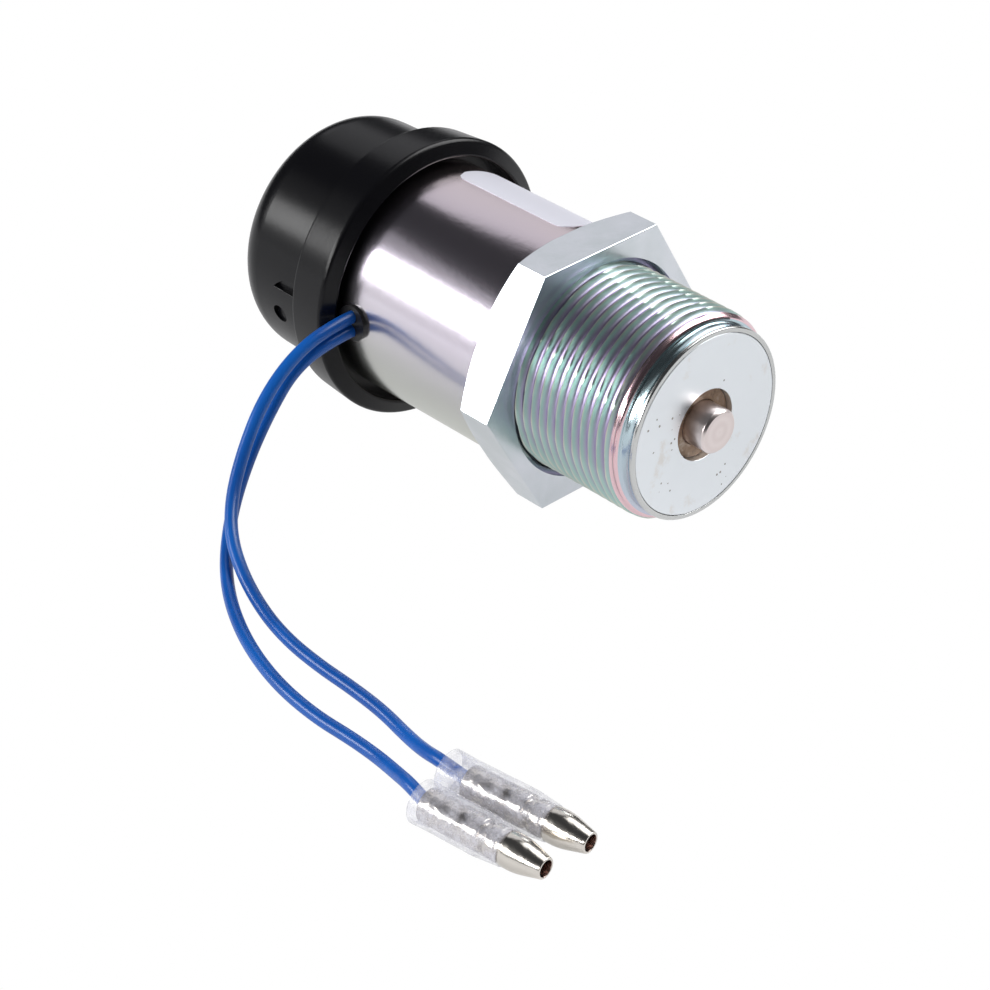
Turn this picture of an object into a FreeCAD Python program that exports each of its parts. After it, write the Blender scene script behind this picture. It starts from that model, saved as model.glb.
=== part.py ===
import FreeCAD, Part
import Sketcher
import math
import os
import re

# Fuel shutoff solenoid: a steel case with a threaded nose, a coil and a sliding armature
# inside it, a lock nut on the thread, a rubber boot over the rear and two flying leads.
# Millimetres. X is the solenoid's axis and points out of the nose. Z is up.
# The origin is on the axis, in the plane of the lock nut's front face (the seat plane).

doc = FreeCAD.newDocument("fuel_shutoff_solenoid")
Vector = FreeCAD.Vector

# Driving sizes

SIZES = {
    # Case, outside
    "tube_radius": 17.0,
    "tube_length": 39.55,
    "tube_end_round": 0.8,
    "shoulder_step": 2.0,
    "shoulder_gap": 0.3,
    "shoulder_edge": 0.4,
    "nose_reach": 19.55,
    "thread_setback": 3.5,
    "thread_depth_to_pitch": 0.49,
    "collar_depth": 0.7,
    "collar_setback": 2.3,
    "neck_depth": 1.6,
    "neck_width": 1.0,
    "lip_depth": 1.3,
    "lip_width": 0.9,
    "lip_round": 0.35,
    # Case, inside
    "tube_wall": 1.8,
    "nose_wall": 3.15,
    "web": 2.2,
    "rolled_end": 1.5,
    "rolled_reach": 1.3,
    "seat_gap": 0.05,
    # Lock nut
    "nut_wall": 3.0,
    "nut_thickness": 6.6,
    "nut_play": 0.06,
    "nut_countersink": 0.8,
    "nut_corner_cut": 1.5,
    # Nose plate and bush
    "plate_seat_wall": 1.8,
    "plate_thickness": 3.0,
    "plate_bevel": 0.3,
    "plate_bevel_depth": 0.6,
    "bush_radius": 5.13,
    "bush_setback": 1.0,
    "bush_length": 3.4,
    "bush_play": 0.05,
    # Pin
    "pin_radius": 3.15,
    "pin_reach": 2.55,
    "pin_chamfer": 0.35,
    "pin_seat_depth": 12.0,
    # Armature and its travel
    "stroke": 6.0,
    "stop_gap": 0.1,
    "armature_share": 0.5,
    "armature_play": 0.1,
    "armature_tail": 0.55,
    "armature_chamfer": 0.5,
    "vent_slot_width": 1.2,
    "vent_slot_depth": 0.8,
    # Return spring
    "spring_wire": 0.8,
    "spring_radius": 4.25,
    "spring_turns": 7.0,
    "spring_pocket_radius": 5.1,
    "spring_pocket_depth": 9.0,
    "spring_seat_depth": 2.0,
    # Pole, seal and stop washer
    "pole_head_setback": 1.1,
    "pole_stem": 12.5,
    "pole_bore": 3.6,
    "seal_setback": 6.0,
    "seal_section": 0.9,
    "seal_groove": 2.2,
    "washer_thickness": 0.3,
    # Guide tube and bumper
    "guide_wall": 0.5,
    "guide_end": 0.8,
    "bumper_thickness": 1.5,
    # Coil
    "spring_washer_height": 0.75,
    "spring_washer_metal": 0.3,
    "spring_washer_share": 0.625,
    "bobbin_hub_wall": 1.2,
    "bobbin_flange": 1.4,
    "bobbin_side_gap": 0.3,
    "winding_share": 0.829,
    "wrap_thickness": 0.3,
    "rear_plate_thickness": 3.0,
    # Rubber boot
    "boot_grip": 13.95,
    "mouth_clearance": 1.34,
    "mouth_depth": 3.0,
    "mouth_edge": 0.3,
    "band_wall": 3.8,
    "band_taper": 0.5,
    "band_front": 1.1,
    "band_width": 6.4,
    "band_edge": 0.7,
    "band_rear_edge": 0.45,
    "seam_depth": 0.25,
    "seam_width": 0.5,
    "cap_side_wall": 1.2,
    "cap_taper": 0.4,
    "cap_length": 23.6,
    "cap_edge": 5.6,
    "cap_wall": 2.2,
    "cavity_inset": 1.5,
    "vent_radius": 1.35,
    "vent_setback": 13.45,
    "vent_drop": 4.0,
    "vent_depth": 1.3,
    "pad_radius": 6.3,
    "pad_setback": 9.35,
    "pad_drop": 3.7,
    "pocket_edge": 0.45,
    "pocket_depth": 0.85,
    "pocket_edge_round": 0.2,
    # Grommet and the leads' joints
    "lead_ahead": 1.9,
    "lead_rise": 0.9,
    "lead_radius": 0.9,
    "lead_spread": 1.05,
    "lead_tail": 0.8,
    "grommet_radius": 2.6,
    "grommet_shank": 2.15,
    "grommet_rise": 0.6,
    "grommet_foot": 0.7,
    "joint_radius": 0.75,
    # Bullet connectors
    "lead_entry": 3.3,
    "barrel_radius": 2.2,
    "barrel_length": 8.9,
    "waist_radius": 1.7,
    "waist_length": 1.0,
    "bead_length": 1.8,
    "groove_radius": 1.95,
    "groove_length": 0.7,
    "bullet_radius": 2.35,
    "bullet_length": 21.3,
    "bullet_taper": 3.1,
    "bullet_tip_radius": 1.45,
    "bullet_hole": 0.95,
    "bullet_hole_depth": 4.0,
    # Sleeves over the connectors
    "sleeve_radius": 2.93,
    "sleeve_mouth_radius": 3.0,
    "sleeve_mouth_length": 2.5,
    "sleeve_mouth_wall": 0.35,
    "sleeve_funnel": 3.0,
    "sleeve_trim": 2.4,
    "sleeve_step": 12.6,
    "sleeve_step_length": 2.0,
    "sleeve_nose_radius": 2.55,
    "sleeve_length": 15.6,
}

sheet = doc.addObject("Spreadsheet::Sheet", "Sizes")
for row, (alias, size) in enumerate(SIZES.items(), start=1):
    sheet.set("A%d" % row, alias.replace("_", " "))
    sheet.set("B%d" % row, repr(size))
    sheet.setAlias("B%d" % row, alias)
doc.recompute()
SHEET_NAMES = {alias: "Sizes." + alias for alias in SIZES}

# Sizes that follow from the driving sizes

FOLLOWING = {
    "thread_radius": "(tube_radius - shoulder_step)",
    "collar_radius": "(thread_radius - collar_depth)",
    "neck_radius": "(thread_radius - neck_depth)",
    "lip_radius": "(thread_radius - lip_depth)",
    "plate_radius": "(thread_radius - plate_seat_wall)",
    "nose_bore": "(thread_radius - nose_wall)",
    "tube_bore": "(tube_radius - tube_wall)",
    "pitch_radius": "(thread_radius - thread_depth_to_pitch)",
    "winding_radius": "(tube_bore * winding_share)",
    "armature_radius": "(tube_bore * armature_share)",
    "spring_washer_bore": "(tube_bore * spring_washer_share)",
    "mouth_radius": "(tube_radius + mouth_clearance)",
    "band_radius": "(tube_radius + band_wall)",
    "band_rear_radius": "(band_radius - band_taper)",
    "cap_radius": "(tube_radius + cap_side_wall)",
    "cap_rear_radius": "(cap_radius - cap_taper)",
    "boot_setback": "(nut_thickness + shoulder_gap + tube_length - boot_grip)",
    "lead_setback": "(boot_setback - lead_ahead)",
}

# Stations along the axis and radii made up from both

SHOULDER = "(-nut_thickness - shoulder_gap)"
TUBE_END = "(-nut_thickness - shoulder_gap - tube_length)"
WEB_REAR = "(-nut_thickness - shoulder_gap - web)"
PLATE_REAR = "(nose_reach - plate_thickness)"
PLATE_SEAT = "(plate_radius + seat_gap)"
BUSH_FRONT = "(nose_reach - bush_setback)"
BUSH_REAR = "(nose_reach - bush_setback - bush_length)"
HEAD_REAR = "(%s + pole_head_setback)" % WEB_REAR
POLE_REAR = "(%s - pole_stem)" % HEAD_REAR
WASHER_REAR = "(%s - washer_thickness)" % POLE_REAR
ARMATURE_FRONT = "(%s - stop_gap - stroke)" % WASHER_REAR
ARMATURE_REAR = "(%s + armature_tail)" % TUBE_END
BUMPER_FRONT = "(%s - stop_gap)" % ARMATURE_REAR
BUMPER_REAR = "(%s - bumper_thickness)" % BUMPER_FRONT
GUIDE_END = "(%s - guide_end)" % BUMPER_REAR
GUIDE_BORE = "(armature_radius + armature_play)"
GUIDE_OUTSIDE = "(armature_radius + armature_play + guide_wall)"
SPRING_FRONT = "(%s + spring_pocket_depth)" % POLE_REAR
SPRING_REAR = "(%s - spring_seat_depth)" % ARMATURE_FRONT
ROLL_FRONT = "(%s + rolled_end)" % TUBE_END
REAR_PLATE_REAR = "(%s + seat_gap)" % ROLL_FRONT
REAR_PLATE_FRONT = "(%s + rear_plate_thickness)" % REAR_PLATE_REAR
BOBBIN_REAR = "(%s + seat_gap)" % REAR_PLATE_FRONT
BOBBIN_FRONT = "(%s - spring_washer_height)" % WEB_REAR
HUB_BORE = "(%s + seat_gap)" % GUIDE_OUTSIDE
HUB_OUTSIDE = "(%s + bobbin_hub_wall)" % HUB_BORE
BOOT_MOUTH = "(-boot_setback)"
BAND_FRONT = "(-boot_setback - band_front)"
BAND_REAR = "(-boot_setback - band_front - band_width)"
BOOT_END = "(-boot_setback - cap_length)"
BOOT_BORE = "(tube_radius + seat_gap)"
NUT_CORNER = "(2 * (thread_radius + nut_wall) / sqrt(3))"
FLOOR = "(-band_radius)"
UPPER_LEAD = "(lead_rise + lead_spread)"
LOWER_LEAD = "(lead_rise - lead_spread)"


def spelled_out(text):
    """The same expression with each size that follows written in driving sizes."""
    longer = re.sub(r"[a-z_]+", lambda word: FOLLOWING.get(word.group(), word.group()), text)
    return text if longer == text else spelled_out(longer)


def bound(text):
    """The same expression with each size's name turned into a reference to the sheet."""
    return re.sub(r"[a-z_]+", lambda word: SHEET_NAMES.get(word.group(), word.group()), spelled_out(text))


def amount(text):
    """The number that an expression of sizes stands for."""
    value = sheet.evalExpression(bound(text))
    return float(getattr(value, "Value", value))


# Helpers for bodies and sketches


def new_body(label):
    body = doc.addObject("PartDesign::Body", label)
    body.Label = label
    return body


def origin_plane(body, role):
    return next(item for item in body.Origin.OriginFeatures if item.Role == role)


def new_sketch(body, name, role, offset="0"):
    """An empty sketch on one of the body's origin planes, moved out by an offset."""
    sketch = body.newObject("Sketcher::SketchObject", name)
    sketch.AttachmentSupport = [(origin_plane(body, role), "")]
    sketch.MapMode = "FlatFace"
    if offset != "0":
        sketch.setExpression("AttachmentOffset.Base.z", bound(offset))
    return sketch


def pin_point(sketch, shape_index, end, place):
    """Holds one end of a line or a circle's centre at a place given by two expressions."""
    for axis, text in zip(("DistanceX", "DistanceY"), place):
        number = sketch.addConstraint(Sketcher.Constraint(axis, -1, 1, shape_index, end, amount(text)))
        sketch.setExpression("Constraints[%d]" % number, bound(text))


def draw_outline(sketch, outline):
    """A closed outline of straight lines through places given by expressions."""
    corners = [Vector(amount(first), amount(second), 0) for first, second in outline]
    count = len(corners)
    for i in range(count):
        sketch.addGeometry(Part.LineSegment(corners[i], corners[(i + 1) % count]), False)
    for i in range(count):
        sketch.addConstraint(Sketcher.Constraint("Coincident", i, 2, (i + 1) % count, 1))
    for i, place in enumerate(outline):
        pin_point(sketch, i, 1, place)


def draw_circle(sketch, place, radius):
    centre = Vector(amount(place[0]), amount(place[1]), 0)
    index = sketch.addGeometry(Part.Circle(centre, Vector(0, 0, 1), amount(radius)), False)
    pin_point(sketch, index, 3, place)
    number = sketch.addConstraint(Sketcher.Constraint("Radius", index, amount(radius)))
    sketch.setExpression("Constraints[%d]" % number, bound(radius))


def finish(body, feature):
    body.Tip = feature
    doc.recompute()
    return feature


def revolve(body, name, outline):
    """A solid turned about the X axis from an outline of (along the axis, radius)."""
    sketch = new_sketch(body, name + "_outline", "XY_Plane")
    draw_outline(sketch, outline)
    turned = body.newObject("PartDesign::Revolution", name)
    turned.Profile = sketch
    turned.ReferenceAxis = (sketch, ["H_Axis"])
    turned.Angle = 360
    return finish(body, turned)


def groove(body, name, outline):
    """A cut turned about the X axis from an outline of (along the axis, radius)."""
    sketch = new_sketch(body, name + "_outline", "XY_Plane")
    draw_outline(sketch, outline)
    turned = body.newObject("PartDesign::Groove", name)
    turned.Profile = sketch
    turned.ReferenceAxis = (sketch, ["H_Axis"])
    turned.Angle = 360
    return finish(body, turned)


def cut_from_side(body, name, sketch, depth):
    """A pocket from the sketch's plane on the -Y side, towards the axis."""
    before = body.Shape.Volume
    pocket = body.newObject("PartDesign::Pocket", name)
    pocket.Profile = sketch
    pocket.setExpression("Length", bound(depth))
    finish(body, pocket)
    if before - body.Shape.Volume < 1e-3:
        pocket.Reversed = True
        finish(body, pocket)
    if before - body.Shape.Volume < 1e-3:
        raise RuntimeError(name + " cuts nothing")
    return pocket


def ring_edges(feature, places):
    """Names of the circular edges about the X axis at the given (along the axis, radius)."""
    wanted = [(amount(x), amount(radius)) for x, radius in places]
    names = []
    for number, edge in enumerate(feature.Shape.Edges, start=1):
        if not isinstance(edge.Curve, Part.Circle):
            continue
        at = (edge.Curve.Center.x, edge.Curve.Radius)
        if any(math.dist(at, place) < 1e-4 for place in wanted):
            names.append("Edge%d" % number)
    if len(names) < len(places):
        raise RuntimeError("an edge to dress was not found on " + feature.Label)
    return names


def dress(body, kind, name, places, size):
    """A fillet or a chamfer on circular edges."""
    base = body.Tip
    dressing = body.newObject("PartDesign::" + kind, name)
    dressing.Base = (base, ring_edges(base, places))
    dressing.setExpression("Radius" if kind == "Fillet" else "Size", bound(size))
    return finish(body, dressing)


# Case: one turned and rolled steel piece, from the threaded nose to the rolled rear end


def make_case():
    body = new_body("case")
    neck_front = "(nose_reach - lip_width)"
    neck_step = "(nose_reach - lip_width - (lip_radius - neck_radius))"
    revolve(body, "case_turning", [
        ("nose_reach", "plate_radius - plate_bevel + seat_gap"),
        ("nose_reach", "lip_radius"),
        (neck_front, "lip_radius"),
        (neck_step, "neck_radius"),
        ("nose_reach - lip_width - neck_width", "neck_radius"),
        ("nose_reach - collar_setback", "collar_radius"),
        ("nose_reach - thread_setback", "thread_radius"),
        ("0", "thread_radius"),
        ("0", "pitch_radius"),
        (SHOULDER, "pitch_radius"),
        (SHOULDER, "tube_radius - shoulder_edge"),
        (SHOULDER + " - shoulder_edge", "tube_radius"),
        (TUBE_END, "tube_radius"),
        (TUBE_END, "tube_bore - rolled_reach"),
        (ROLL_FRONT, "tube_bore - rolled_reach"),
        (ROLL_FRONT, "tube_bore"),
        (WEB_REAR, "tube_bore"),
        (WEB_REAR, "nose_bore"),
        (PLATE_REAR, "nose_bore"),
        (PLATE_REAR, PLATE_SEAT),
        ("nose_reach - plate_bevel_depth", PLATE_SEAT),
    ])
    dress(body, "Fillet", "lip_rounding", [("nose_reach", "lip_radius")], "lip_round")
    dress(body, "Fillet", "rolled_rounding", [(TUBE_END, "tube_radius")], "tube_end_round")
    sketch = new_sketch(body, "lead_hole_circle", "XZ_Plane")
    draw_circle(sketch, ("-lead_setback", "lead_rise"), "grommet_shank + seat_gap")
    before = body.Shape.Volume
    pocket = body.newObject("PartDesign::Pocket", "lead_hole")
    pocket.Profile = sketch
    pocket.Reversed = True
    pocket.setExpression("Length", bound("tube_radius + 1"))
    finish(body, pocket)
    wall_middle = Vector(amount("-lead_setback"), -amount("tube_radius + tube_bore") / 2, 0)
    if before - body.Shape.Volume < 1 or body.Shape.isInside(wall_middle, 0.01, True):
        raise RuntimeError("the lead hole is not on the -Y side")
    return body


# Lock nut: a thin hexagon nut with its rear corners turned off.
# Its bore and the case under it are drawn at the thread's pitch radius.


def make_lock_nut():
    body = new_body("lock_nut")
    sketch = new_sketch(body, "hexagon", "YZ_Plane")
    corners = []
    for side in range(6):
        angle = "%d deg" % (60 * side)
        corners.append(("%s * cos(%s)" % (NUT_CORNER, angle), "%s * sin(%s)" % (NUT_CORNER, angle)))
    draw_outline(sketch, corners)
    draw_circle(sketch, ("0", "0"), "pitch_radius + nut_play")
    pad = body.newObject("PartDesign::Pad", "hexagon_pad")
    pad.Profile = sketch
    pad.Reversed = True
    pad.setExpression("Length", bound("nut_thickness"))
    finish(body, pad)
    dress(body, "Chamfer", "countersinks", [
        ("0", "pitch_radius + nut_play"),
        ("-nut_thickness", "pitch_radius + nut_play"),
    ], "nut_countersink")
    groove(body, "corner_turning", [
        ("-nut_thickness", NUT_CORNER + " - nut_corner_cut * sqrt(3)"),
        ("-nut_thickness + nut_corner_cut + 1", NUT_CORNER + " + sqrt(3)"),
        ("-nut_thickness", NUT_CORNER + " + sqrt(3)"),
    ])
    return body


# Nose plate, bush, pole, seal and stop washer: the fixed magnetic end of the nose


def make_nose_plate():
    body = new_body("nose_plate")
    revolve(body, "plate_turning", [
        ("nose_reach", "bush_radius"),
        ("nose_reach", "plate_radius - plate_bevel"),
        ("nose_reach - plate_bevel_depth", "plate_radius"),
        (PLATE_REAR, "plate_radius"),
        (PLATE_REAR, "bush_radius"),
    ])
    return body


def make_front_bush():
    body = new_body("front_bush")
    revolve(body, "bush_turning", [
        (BUSH_FRONT, "pin_radius + bush_play"),
        (BUSH_FRONT, "bush_radius - seat_gap"),
        (BUSH_REAR, "bush_radius - seat_gap"),
        (BUSH_REAR, "pin_radius + bush_play"),
    ])
    dress(body, "Chamfer", "bush_edge", [(BUSH_FRONT, "pin_radius + bush_play")], "bush_play * 6")
    return body


def make_front_pole():
    body = new_body("front_pole")
    head_front = "(%s - seat_gap)" % PLATE_REAR
    seal_middle = "(%s - seal_setback)" % PLATE_REAR
    bush_room = "(%s - seat_gap)" % BUSH_REAR
    groove_bottom = "(nose_bore - 2 * seal_section)"
    revolve(body, "pole_turning", [
        (head_front, "bush_radius + seat_gap"),
        (head_front, "nose_bore - seat_gap"),
        (seal_middle + " + seal_groove / 2", "nose_bore - seat_gap"),
        (seal_middle + " + seal_groove / 2", groove_bottom),
        (seal_middle + " - seal_groove / 2", groove_bottom),
        (seal_middle + " - seal_groove / 2", "nose_bore - seat_gap"),
        (HEAD_REAR, "nose_bore - seat_gap"),
        (HEAD_REAR, GUIDE_BORE + " - seat_gap"),
        (POLE_REAR, GUIDE_BORE + " - seat_gap"),
        (POLE_REAR, "spring_pocket_radius"),
        (SPRING_FRONT, "spring_pocket_radius"),
        (SPRING_FRONT, "pole_bore"),
        (bush_room, "pole_bore"),
        (bush_room, "bush_radius + seat_gap"),
    ])
    return body


def make_pole_seal():
    ring = doc.addObject("Part::Torus", "pole_seal")
    ring.setExpression("Radius1", bound("nose_bore - seal_section"))
    ring.setExpression("Radius2", bound("seal_section - seat_gap"))
    ring.Placement = FreeCAD.Placement(Vector(0, 0, 0), FreeCAD.Rotation(Vector(0, 1, 0), 90))
    ring.setExpression("Placement.Base.x", bound(PLATE_REAR + " - seal_setback"))
    return ring


def make_stop_washer():
    body = new_body("stop_washer")
    revolve(body, "stop_washer_turning", [
        (POLE_REAR, "spring_pocket_radius"),
        (POLE_REAR, GUIDE_BORE + " - seat_gap"),
        (WASHER_REAR, GUIDE_BORE + " - seat_gap"),
        (WASHER_REAR, "spring_pocket_radius"),
    ])
    return body


# Pin, armature and return spring: what slides when the coil is switched on


def make_pin():
    body = new_body("pin")
    tip = "(nose_reach + pin_reach)"
    revolve(body, "pin_turning", [
        (tip, "0"),
        (tip, "pin_radius - pin_chamfer"),
        (tip + " - pin_chamfer", "pin_radius"),
        (ARMATURE_FRONT + " - pin_seat_depth", "pin_radius"),
        (ARMATURE_FRONT + " - pin_seat_depth", "0"),
    ])
    return body


def make_armature():
    body = new_body("armature")
    pin_floor = "(%s - pin_seat_depth - seat_gap)" % ARMATURE_FRONT
    revolve(body, "armature_turning", [
        (ARMATURE_FRONT, "spring_pocket_radius"),
        (ARMATURE_FRONT, "armature_radius"),
        (ARMATURE_REAR, "armature_radius"),
        (ARMATURE_REAR, "0"),
        (pin_floor, "0"),
        (pin_floor, "pin_radius + seat_gap"),
        (SPRING_REAR, "pin_radius + seat_gap"),
        (SPRING_REAR, "spring_pocket_radius"),
    ])
    dress(body, "Chamfer", "armature_edges", [
        (ARMATURE_FRONT, "armature_radius"),
        (ARMATURE_REAR, "armature_radius"),
    ], "armature_chamfer")
    sketch = new_sketch(body, "vent_slot_outline", "YZ_Plane", ARMATURE_FRONT + " + 1")
    draw_outline(sketch, [
        ("-vent_slot_width / 2", "armature_radius - vent_slot_depth"),
        ("vent_slot_width / 2", "armature_radius - vent_slot_depth"),
        ("vent_slot_width / 2", "armature_radius + 1"),
        ("-vent_slot_width / 2", "armature_radius + 1"),
    ])
    slot = body.newObject("PartDesign::Pocket", "vent_slot")
    slot.Profile = sketch
    slot.setExpression("Length", bound("%s - %s + 2" % (ARMATURE_FRONT, ARMATURE_REAR)))
    finish(body, slot)
    pattern = body.newObject("PartDesign::PolarPattern", "vent_slots")
    pattern.Originals = [slot]
    pattern.Axis = (sketch, ["N_Axis"])
    pattern.Angle = 360
    pattern.Occurrences = 2
    finish(body, pattern)
    return body


def make_return_spring():
    """A helix of round wire from the pole's pocket to the armature's seat, at rest."""
    wire = amount("spring_wire")
    front = amount(SPRING_FRONT) - wire / 2 - amount("seat_gap")
    rear = amount(SPRING_REAR) + wire / 2 + amount("seat_gap")
    radius = amount("spring_radius")
    helix = Part.makeHelix((front - rear) / amount("spring_turns"), front - rear, radius)
    section = Part.Wire(Part.makeCircle(wire / 2, Vector(radius, 0, 0), Vector(0, 1, 0)))
    spring = doc.addObject("Part::Feature", "return_spring")
    spring.Shape = Part.Wire(helix.Edges).makePipeShell([section], True, True)
    spring.Placement = FreeCAD.Placement(Vector(rear, 0, 0), FreeCAD.Rotation(Vector(0, 1, 0), 90))
    return spring


# Guide tube and bumper: a thin closed brass tube that the armature slides in


def make_guide_tube():
    body = new_body("guide_tube")
    front = "(%s - seat_gap)" % HEAD_REAR
    revolve(body, "guide_drawing", [
        (front, GUIDE_BORE),
        (front, GUIDE_OUTSIDE),
        (GUIDE_END, GUIDE_OUTSIDE),
        (GUIDE_END, "0"),
        (BUMPER_REAR, "0"),
        (BUMPER_REAR, GUIDE_BORE),
    ])
    dress(body, "Fillet", "guide_end_rounding", [(GUIDE_END, GUIDE_OUTSIDE)], "guide_wall")
    return body


def make_rear_bumper():
    body = new_body("rear_bumper")
    revolve(body, "bumper_moulding", [
        (BUMPER_FRONT, "0"),
        (BUMPER_FRONT, GUIDE_BORE + " - seat_gap"),
        (BUMPER_REAR, GUIDE_BORE + " - seat_gap"),
        (BUMPER_REAR, "0"),
    ])
    return body


# Coil: bobbin, copper winding, wrap, the washer that holds it tight, and the rear plate


def make_bobbin():
    body = new_body("bobbin")
    rim = "(tube_bore - bobbin_side_gap)"
    revolve(body, "bobbin_moulding", [
        (BOBBIN_FRONT, HUB_BORE),
        (BOBBIN_FRONT, rim),
        (BOBBIN_FRONT + " - bobbin_flange", rim),
        (BOBBIN_FRONT + " - bobbin_flange", HUB_OUTSIDE),
        (BOBBIN_REAR + " + bobbin_flange", HUB_OUTSIDE),
        (BOBBIN_REAR + " + bobbin_flange", rim),
        (BOBBIN_REAR, rim),
        (BOBBIN_REAR, HUB_BORE),
    ])
    return body


def ring_between_flanges(label, inner, outer):
    body = new_body(label)
    front = BOBBIN_FRONT + " - bobbin_flange - seat_gap"
    rear = BOBBIN_REAR + " + bobbin_flange + seat_gap"
    revolve(body, label + "_ring", [(front, inner), (front, outer), (rear, outer), (rear, inner)])
    return body


def make_winding():
    return ring_between_flanges("winding", HUB_OUTSIDE + " + seat_gap", "winding_radius")


def make_coil_wrap():
    return ring_between_flanges("coil_wrap", "winding_radius + seat_gap", "winding_radius + wrap_thickness")


def make_spring_washer():
    """A shallow cone that bears on the case's web outside and on the bobbin inside."""
    body = new_body("spring_washer")
    rim = "(tube_bore - bobbin_side_gap)"
    front = "(%s - seat_gap)" % WEB_REAR
    rear = "(%s + seat_gap)" % BOBBIN_FRONT
    revolve(body, "spring_washer_pressing", [
        (front, rim),
        (front + " - spring_washer_metal", rim),
        (rear, "spring_washer_bore"),
        (rear + " + spring_washer_metal", "spring_washer_bore"),
    ])
    return body


def make_rear_plate():
    body = new_body("rear_plate")
    revolve(body, "rear_plate_blank", [
        (REAR_PLATE_FRONT, HUB_BORE),
        (REAR_PLATE_FRONT, "tube_bore - seat_gap"),
        (REAR_PLATE_REAR, "tube_bore - seat_gap"),
        (REAR_PLATE_REAR, HUB_BORE),
    ])
    return body


# Rubber boot: a moulded cap that grips the rear of the case, with a thick band at its mouth


def make_rubber_boot():
    body = new_body("rubber_boot")
    seam_end = BAND_REAR + " - seam_width"
    tube_room = "(%s - seat_gap)" % TUBE_END
    mouth_floor = "(%s - mouth_depth)" % BOOT_MOUTH
    cavity_radius = "(tube_radius - cavity_inset)"
    revolve(body, "boot_moulding", [
        (BOOT_MOUTH, "mouth_radius"),
        (BAND_FRONT, "band_radius"),
        (BAND_REAR, "band_rear_radius"),
        (BAND_REAR, "cap_radius - seam_depth"),
        (seam_end, "cap_radius - seam_depth"),
        (seam_end, "cap_radius"),
        (BOOT_END, "cap_rear_radius"),
        (BOOT_END, "0"),
        (BOOT_END + " + cap_wall", "0"),
        (BOOT_END + " + cap_wall", cavity_radius),
        (tube_room, cavity_radius),
        (tube_room, BOOT_BORE),
        (mouth_floor, BOOT_BORE),
        (mouth_floor, "mouth_radius"),
    ])
    dress(body, "Fillet", "cap_rounding", [(BOOT_END, "cap_rear_radius")], "cap_edge")
    dress(body, "Fillet", "band_rounding", [(BAND_FRONT, "band_radius")], "band_edge")
    dress(body, "Fillet", "band_rear_rounding", [(BAND_REAR, "band_rear_radius")], "band_rear_edge")
    dress(body, "Fillet", "mouth_rounding", [(BOOT_MOUTH, "mouth_radius")], "mouth_edge")
    vent = new_sketch(body, "vent_circle", "XZ_Plane", "cap_radius")
    draw_circle(vent, (BOOT_MOUTH + " - vent_setback", "-vent_drop"), "vent_radius")
    cut_from_side(body, "vent_hole", vent, "vent_depth")
    pocket = new_sketch(body, "pocket_outline", "XZ_Plane", "cap_radius")
    draw_pocket(pocket)
    cut_from_side(body, "side_pocket", pocket, "pocket_depth")
    base = body.Tip
    lip = body.newObject("PartDesign::Fillet", "pocket_lip")
    lip.Base = (base, [lip_edge(base)])
    lip.setExpression("Radius", bound("pocket_edge_round"))
    finish(body, lip)
    return body


def lip_edge(feature):
    """Name of the pocket's straight outer edge, the one furthest from the axis at its height."""
    height = amount("pocket_edge")
    found = []
    for number, edge in enumerate(feature.Shape.Edges, start=1):
        box = edge.BoundBox
        level = abs(box.ZMin - height) < 1e-4 and abs(box.ZMax - height) < 1e-4
        if level and box.XLength > 1:
            found.append((box.YMin, "Edge%d" % number))
    if not found:
        raise RuntimeError("the pocket has no straight edge")
    return min(found)[1]


def draw_pocket(sketch):
    """Two straight edges and a round one: what shows of a round pad beside the band."""
    middle = (BOOT_MOUTH + " - pad_setback", "-pad_drop")
    top = "(%s - seam_width)" % BAND_REAR
    edge_rise = "(pocket_edge + pad_drop)"
    deep = "(%s - pad_setback - sqrt(pad_radius ^ 2 - %s ^ 2))" % (BOOT_MOUTH, edge_rise)
    near = "(-pad_drop + sqrt(pad_radius ^ 2 - (%s - (%s)) ^ 2))" % (top, middle[0])
    inner = Vector(amount(top), amount("pocket_edge"), 0)
    low = Vector(amount(deep), amount("pocket_edge"), 0)
    high = Vector(amount(top), amount(near), 0)
    centre = Vector(amount(middle[0]), amount(middle[1]), 0)
    circle = Part.Circle(centre, Vector(0, 0, 1), amount("pad_radius"))
    from_high = math.atan2(high.y - centre.y, high.x - centre.x)
    to_low = math.atan2(low.y - centre.y, low.x - centre.x)
    sketch.addGeometry(Part.LineSegment(inner, low), False)
    sketch.addGeometry(Part.ArcOfCircle(circle, from_high, to_low), False)
    sketch.addGeometry(Part.LineSegment(high, inner), False)
    sketch.addConstraint(Sketcher.Constraint("Coincident", 0, 2, 1, 2))
    sketch.addConstraint(Sketcher.Constraint("Coincident", 1, 1, 2, 1))
    sketch.addConstraint(Sketcher.Constraint("Coincident", 2, 2, 0, 1))
    pin_point(sketch, 0, 1, (top, "pocket_edge"))
    pin_point(sketch, 1, 3, middle)
    number = sketch.addConstraint(Sketcher.Constraint("Radius", 1, amount("pad_radius")))
    sketch.setExpression("Constraints[%d]" % number, bound("pad_radius"))
    sketch.addConstraint(Sketcher.Constraint("Horizontal", 0))
    sketch.addConstraint(Sketcher.Constraint("Vertical", 2))


# Grommet: a rubber bush in the case's side hole, curved like the case, with two bores


def side_cylinder(name, radius, length, rise):
    """A cylinder from the axis out along -Y, over the lead hole."""
    cylinder = doc.addObject("Part::Cylinder", name)
    cylinder.setExpression("Radius", bound(radius))
    cylinder.setExpression("Height", bound(length))
    cylinder.Placement = FreeCAD.Placement(Vector(0, 0, 0), FreeCAD.Rotation(Vector(1, 0, 0), 90))
    cylinder.setExpression("Placement.Base.x", bound("-lead_setback"))
    cylinder.setExpression("Placement.Base.z", bound(rise))
    return cylinder


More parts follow.
